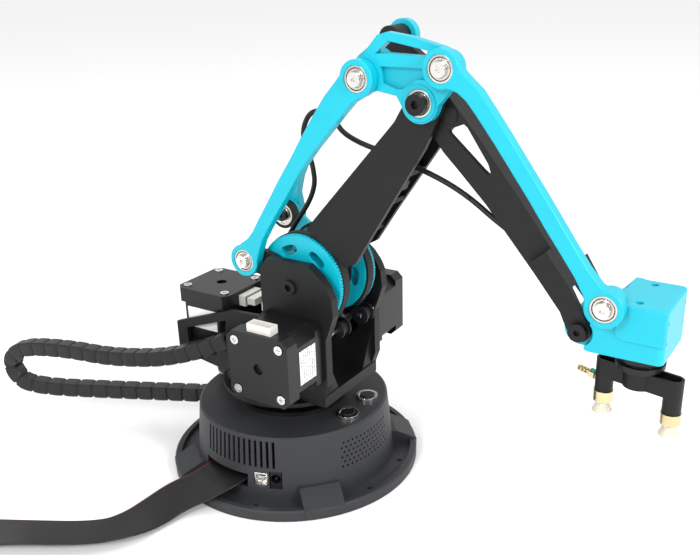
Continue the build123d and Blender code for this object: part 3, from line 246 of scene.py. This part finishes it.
def lathe(name, centre, axis, profile, body, materials, turns=48):
    """Turns a profile of (radius, height, material index) about an axis through centre, in mm."""
    axis = Vector(axis).normalized()
    first = axis.orthogonal().normalized()
    second = axis.cross(first)
    verts, faces, marks = [], [], []
    for radius, height, _ in profile:
        for k in range(turns):
            a = 2 * pi * k / turns
            verts.append((Vector(centre) + axis * height + (first * cos(a) + second * sin(a)) * radius) * MM)
    for i in range(len(profile) - 1):
        for k in range(turns):
            n = (k + 1) % turns
            faces.append((i * turns + k, i * turns + n, (i + 1) * turns + n, (i + 1) * turns + k))
            marks.append(profile[i][2])
    piece = mesh_piece(name, verts, faces, materials, marks)
    split = piece.modifiers.new("edges", "EDGE_SPLIT")
    split.split_angle = radians(35)
    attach(piece, body)
    return piece


def spline_line(name, points):
    """The points of the smooth line that the control points, in mm, give."""
    curve = bpy.data.curves.new(name, "CURVE")
    curve.dimensions = "3D"
    curve.resolution_u = 20
    spline = curve.splines.new("NURBS")
    spline.points.add(len(points) - 1)
    for point, (x, y, z) in zip(spline.points, points):
        point.co = (x * MM, y * MM, z * MM, 1)
    spline.order_u = 3
    spline.use_endpoint_u = True
    carrier = bpy.data.objects.new(name, curve)
    mesh = bpy.data.meshes.new_from_object(carrier)
    line = [v.co.copy() for v in mesh.vertices]
    bpy.data.objects.remove(carrier)
    return line


def distances(line):
    out = [0.0]
    for a, b in zip(line, line[1:]):
        out.append(out[-1] + (b - a).length)
    return out


def along(line, marks, s):
    """The point and direction at distance s along a line."""
    s = min(max(s, 0.0), marks[-1])
    i = 0
    while i < len(line) - 2 and marks[i + 1] < s:
        i += 1
    t = (s - marks[i]) / max(marks[i + 1] - marks[i], 1e-9)
    return line[i].lerp(line[i + 1], t), (line[i + 1] - line[i]).normalized()


def tube(name, line, radius, material, sides=20):
    """A round tube about a line of points, closed at both ends."""
    marks = distances(line)
    steps = max(12, int(marks[-1] / 0.0015))
    side = None
    verts, faces = [], []
    for k in range(steps + 1):
        place, ahead = along(line, marks, marks[-1] * k / steps)
        sideways = ahead.orthogonal() if side is None else side - ahead * side.dot(ahead)
        side = sideways.normalized()
        other = ahead.cross(side)
        for j in range(sides):
            a = 2 * pi * j / sides
            verts.append(place + (side * cos(a) + other * sin(a)) * radius)
    for k in range(steps):
        for j in range(sides):
            n = (j + 1) % sides
            faces.append((k * sides + j, k * sides + n, (k + 1) * sides + n, (k + 1) * sides + j))
    faces.append(tuple(reversed(range(sides))))
    faces.append(tuple(steps * sides + j for j in range(sides)))
    return mesh_piece(name, verts, faces, [material])


# ---------------------------------------------------------------- cable carrier
CHAIN_ROUTE = [
    (-22, -34, 91), (-56, -40.5, 74), (-108, -50, 65), (-148, -57.5, 66), (-184, -65, 62.5),
    (-195, -67.5, 53),
    (-195, -67, 40), (-184, -63.5, 31), (-130, -38, 30), (-62, -8, 31),
]
LINK_PITCH = 0.0106


def square_ring(place, ahead, half, corner):
    """Eight points of a square with cut corners about a place on the carrier, its sides level."""
    across = ahead.cross(Vector((0, 0, 1))).normalized() if abs(ahead.z) < 0.98 else Vector((0.35, -0.94, 0))
    if across.y > 0:
        across = -across
    over = across.cross(ahead).normalized()
    if over.z < 0 and abs(ahead.z) < 0.98:
        over = -over
    out = []
    for a, b in ((1, -1), (1, 1), (-1, 1), (-1, -1)):
        for c, d in (((half, half - corner), (half - corner, half)) if a * b > 0 else
                     ((half - corner, half), (half, half - corner))):
            out.append(place + across * (a * c) + over * (b * d))
    return out


def carrier_run(name, line):
    """Separate rounded square links on a thin core, with a bar across the face of each."""
    marks = distances(line)
    count = max(3, int(round(marks[-1] / LINK_PITCH)))
    pitch = marks[-1] / count
    verts, faces, tones = [], [], []
    for k in range(count):
        stations = (0.01, 0.07, 0.3, 0.5, 0.7, 0.9, 0.96)
        halves = (0.0042, 0.00495, 0.0051, 0.0051, 0.0051, 0.00495, 0.0042)
        begin = len(verts)
        for t, half in zip(stations, halves):
            place, ahead = along(line, marks, (k + t) * pitch)
            verts.extend(square_ring(place, ahead, half, 0.0011))
        for i in range(len(stations) - 1):
            for j in range(8):
                n = (j + 1) % 8
                faces.append((begin + i * 8 + j, begin + i * 8 + n, begin + (i + 1) * 8 + n,
                    begin + (i + 1) * 8 + j))
                tones.append(1 if 1 < i < 5 and j in (0, 4) else 0)
        faces.append(tuple(begin + j for j in reversed(range(8))))
        faces.append(tuple(begin + 48 + j for j in range(8)))
        tones.extend((0, 0))
    core = len(verts)
    steps = count * 3
    for k in range(steps + 1):
        place, ahead = along(line, marks, marks[-1] * k / steps)
        verts.extend(square_ring(place, ahead, 0.0044, 0.0012))
    for k in range(steps):
        for j in range(8):
            n = (j + 1) % 8
            faces.append((core + k * 8 + j, core + k * 8 + n, core + (k + 1) * 8 + n,
                core + (k + 1) * 8 + j))
            tones.append(0)
    return mesh_piece(name, verts, faces, [chain_black, chain_bar], tones, smooth=False)


chain_line = spline_line("chain_line", CHAIN_ROUTE)
turn = max(range(len(chain_line)), key=lambda i: -chain_line[i].x)
upper_line, lower_line = chain_line[: turn + 1], chain_line[turn:]
chain_upper = carrier_run("carrier_upper", upper_line)
chain_lower = carrier_run("carrier_lower", lower_line)
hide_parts("cable_carrier")
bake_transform(chain_upper)
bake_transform(chain_lower)

# ---------------------------------------------------------------- arm cable
LOWER_ROUTE = [
    (-12, 0, 66.2), (-14, 0, 118), (2, 0.5, 154), (24.5, 0.5, 183), (23, 0, 202), (17.5, 0, 210),
    (17.5, 0, 221.5),
    (24.5, 0, 231.5), (37, 0, 230), (48, 0, 216), (74, 0, 211.5),
]
lower_cable_line = spline_line("lower_cable_line", LOWER_ROUTE)
lower_cable = tube("arm_cable_low", lower_cable_line, 0.0015, rubber)
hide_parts("arm_cable_lower")
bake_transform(lower_cable)

UPPER_ROUTE = [(86, -3, 208.4), (103, -3, 203.8), (124, -3, 194.8), (143, -3, 181.6), (162, -3, 171)]
upper_cable_line = spline_line("upper_cable_line", UPPER_ROUTE)
middle = min(range(len(upper_cable_line)), key=lambda i: abs(upper_cable_line[i].x - 0.126))
arm_side, fore_side = upper_cable_line[: middle + 1], upper_cable_line[middle:]
arm_cable = tube("arm_cable_middle", arm_side, 0.0015, rubber)
fore_cable = tube("arm_cable_fore", fore_side, 0.0015, rubber)
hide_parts("arm_cable_upper")
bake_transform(arm_cable)
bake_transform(fore_cable)

# ---------------------------------------------------------------- flat ribbon cable
RIBBON = [
    (-7.9, -56.3, 15.4, 262, 0), (-9.9, -69.2, 14.8, 255, 0), (-18.5, -77.5, 9.2, 246, 0),
    (-28.4, -86.5, 4.6, 242, 0), (-32.0, -103.0, 2.2, 240, 0), (-34.5, -121.5, 3.6, 236, 8),
    (-46.0, -140.0, 4.9, 211, 13), (-92.0, -164.5, 4.9, 208, 13), (-122.0, -180.5, 1.2, 208, 0),
]
FOLD_START = (-122.0, -180.5)
FOLD_HEADING = 208
FOLD_RUN = 50.0
FOLD_STEP = 3.4
FOLDS = 2
WIRES = 26


def fold_place(out, z):
    a = radians(FOLD_HEADING)
    return (FOLD_START[0] + out * cos(a), FOLD_START[1] + out * sin(a), z, FOLD_HEADING, 0)


def ribbon_route():
    made = list(RIBBON)
    for fold in range(FOLDS):
        z0 = 1.2 + FOLD_STEP * fold
        out = 0.0 if fold % 2 else FOLD_RUN
        made.append(fold_place(out, z0))
        made.append(fold_place(out, z0 + FOLD_STEP))
    made.append(fold_place(FOLD_RUN + 6, 1.2 + FOLDS * FOLD_STEP))
    made.append(fold_place(FOLD_RUN + 26, 6.2))
    return made


ribbon_points = ribbon_route()
ribbon_line = spline_line("ribbon_line", [p[:3] for p in ribbon_points])
ribbon_turns = spline_line("ribbon_turns", [(p[3], p[4], 0) for p in ribbon_points])


def ribbon_mesh():
    """A flat cable of 26 joined round wires along its line, turned by the heading and lift at each point."""
    verts, faces, tones = [], [], []
    half_profile = WIRES * 2 + 1
    count = 2 * half_profile
    for k, (place, twist) in enumerate(zip(ribbon_line, ribbon_turns)):
        heading, lift = radians(twist.x / MM), radians(twist.y / MM)
        across = Vector((-sin(heading), cos(heading), 0)) * cos(lift) + Vector((0, 0, sin(lift)))
        before = ribbon_line[max(k - 1, 0)]
        after = ribbon_line[min(k + 1, len(ribbon_line) - 1)]
        ahead = (after - before).normalized()
        over = ahead.cross(across).normalized()
        for j in range(count):
            on_top = j < half_profile
            i = j if on_top else count - 1 - j
            u = (i / (half_profile - 1) - 0.5) * 0.033
            thick = 0.00046 if i % 2 else 0.00026
            verts.append(place + across * u + over * (thick if on_top else -thick))
    for k in range(len(ribbon_line) - 1):
        for j in range(count):
            n = (j + 1) % count
            faces.append((k * count + j, k * count + n, (k + 1) * count + n, (k + 1) * count + j))
            i = j if j < half_profile else count - 1 - j
            tones.append(1 if i < 2 else 0)
    faces.append(tuple(reversed(range(count))))
    faces.append(tuple((len(ribbon_line) - 1) * count + j for j in range(count)))
    tones.extend((0, 0))
    return mesh_piece("ribbon_flat", verts, faces, [ribbon_black, ribbon_red], tones)


ribbon = ribbon_mesh()
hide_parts("ribbon_cable")
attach(ribbon, "base")

# ---------------------------------------------------------------- bearing faces, toothed rims and the head panel
PINS = {
    "F": (-9.1, 144.1), "T1": (72.99, 255.03), "T2": (120.69, 262.53), "H": (208.65, 156.2),
    "E": (106.29, 244.33),
    "S": (24.2, 133.4), "C": (-11.5, 160.79), "R": (70.59, 271.72),
}
RACE = [
    (6.93, -0.2, 0), (6.93, 0.08, 0), (6.75, 0.16, 0), (5.95, 0.16, 0), (5.8, 0.05, 1), (5.7, -0.3, 1),
    (5.45, -0.3, 0),
    (5.3, 0.02, 0), (4.5, 0.1, 0), (4.2, 0.05, 1), (4.1, -0.25, 1), (3.95, -0.25, 0), (3.85, 0.1, 0),
    (3.2, 0.14, 0),
    (2.6, 0.14, 0), (2.6, -0.2, 0),
]


def race(name, pin, y, facing, body):
    x, z = PINS[pin]
    lathe(name, (x, y, z), (0, facing, 0), RACE, body, [steel, seal])


race("race_rear_low", "F", -29.6, -1, "rear_link")
race("race_rear_top", "T1", -29.6, -1, "rear_link")
race("race_front_top", "T2", -29.6, -1, "front_link")
race("race_front_low", "H", -29.6, -1, "front_link")
race("race_elbow", "E", -24.1, -1, "elbow_plate")


def toothed_rim(name, y0, y1, body, teeth=90):
    """Small square teeth round the rim of a shoulder wheel."""
    x, z = PINS["S"]
    verts, faces = [], []
    for k in range(teeth):
        a = 2 * pi * k / teeth
        begin = len(verts)
        for y in (y0, y1):
            for radius, spread in ((28.2, 0.75), (28.75, 0.5)):
                for s in (-1, 1):
                    b = a + s * spread / radius
                    verts.append(mm(x + radius * cos(b), y, z + radius * sin(b)))
        for quad in ((0, 1, 3, 2), (4, 6, 7, 5), (2, 3, 7, 6), (0, 2, 6, 4), (1, 5, 7, 3), (0, 4, 5, 1)):
            faces.append(tuple(begin + q for q in quad))
    piece = mesh_piece(name, verts, faces, [cyan], smooth=False)
    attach(piece, body)


toothed_rim("rim_teeth_near", -19.1, -16.4, "upper_arm")
toothed_rim("rim_teeth_far", 16.4, 19.1, "crank")


def rounded_panel(name, x0, x1, z0, z1, corner, y0, y1, body, material):
    """A raised panel with one rounded lower corner at its rear end."""
    outline = [(x1, z0), (x1, z1), (x0, z1)]
    for k in range(9):
        a = pi + (pi / 2) * k / 8
        outline.append((x0 + corner + corner * cos(a), z0 + corner + corner * sin(a)))
    n = len(outline)
    verts = [mm(x, y0, z) for x, z in outline]
    verts += [mm(x, y1 + 0.25 * (1 if y0 > y1 else -1), z) for x, z in outline]
    inner = [(min(max(x, x0 + 0.3), x1 - 0.3), min(max(z, z0 + 0.3), z1 - 0.3)) for x, z in outline]
    verts += [mm(x, y1, z) for x, z in inner]
    faces = []
    for r in range(2):
        for k in range(n):
            m = (k + 1) % n
            faces.append((r * n + k, r * n + m, (r + 1) * n + m, (r + 1) * n + k))
    faces.append(tuple(range(2 * n, 3 * n)))
    piece = mesh_piece(name, verts, faces, [material], smooth=False)
    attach(piece, body)


rounded_panel("head_panel", 212.4, 236.3, 138.2, 156.0, 5.0, -20.2, -20.9, "head", cyan)

# ---------------------------------------------------------------- floor, light
floor_mesh = bpy.data.meshes.new("floor")
floor_mesh.from_pydata([(-20, -20, -0.0003), (20, -20, -0.0003), (20, 20, -0.0003), (-20, 20, -0.0003)],
    [], [(0, 1, 2, 3)])
floor = bpy.data.objects.new("floor", floor_mesh)
bpy.context.scene.collection.objects.link(floor)
paper = finish_of("paper_floor", (0.93, 0.93, 0.93), 0.85, grain=300, bump=0.02, tone=0.004, edge=0.0)
floor_mesh.materials.append(paper)

world = bpy.data.worlds.new("studio")
bpy.context.scene.world = world
world.use_nodes = True
world.node_tree.nodes["Background"].inputs["Color"].default_value = (1, 1, 1, 1)
world.node_tree.nodes["Background"].inputs["Strength"].default_value = 0.95


def lamp(name, place, aim, size, watts):
    light = bpy.data.lights.new(name, "AREA")
    light.shape = "SQUARE"
    light.size = size
    light.energy = watts
    holder = bpy.data.objects.new(name, light)
    holder.location = place
    holder.rotation_euler = (Vector(aim) - Vector(place)).to_track_quat("-Z", "Y").to_euler()
    bpy.context.scene.collection.objects.link(holder)


lamp("key_right", (1.6, -0.45, 1.0), (0.0, 0.0, 0.1), 0.3, 17)
lamp("key_left", (0.1, -1.7, 1.15), (0.05, 0.0, 0.12), 0.35, 15)
lamp("top", (0.0, 0.1, 1.9), (0.05, 0.0, 0.1), 1.4, 7)
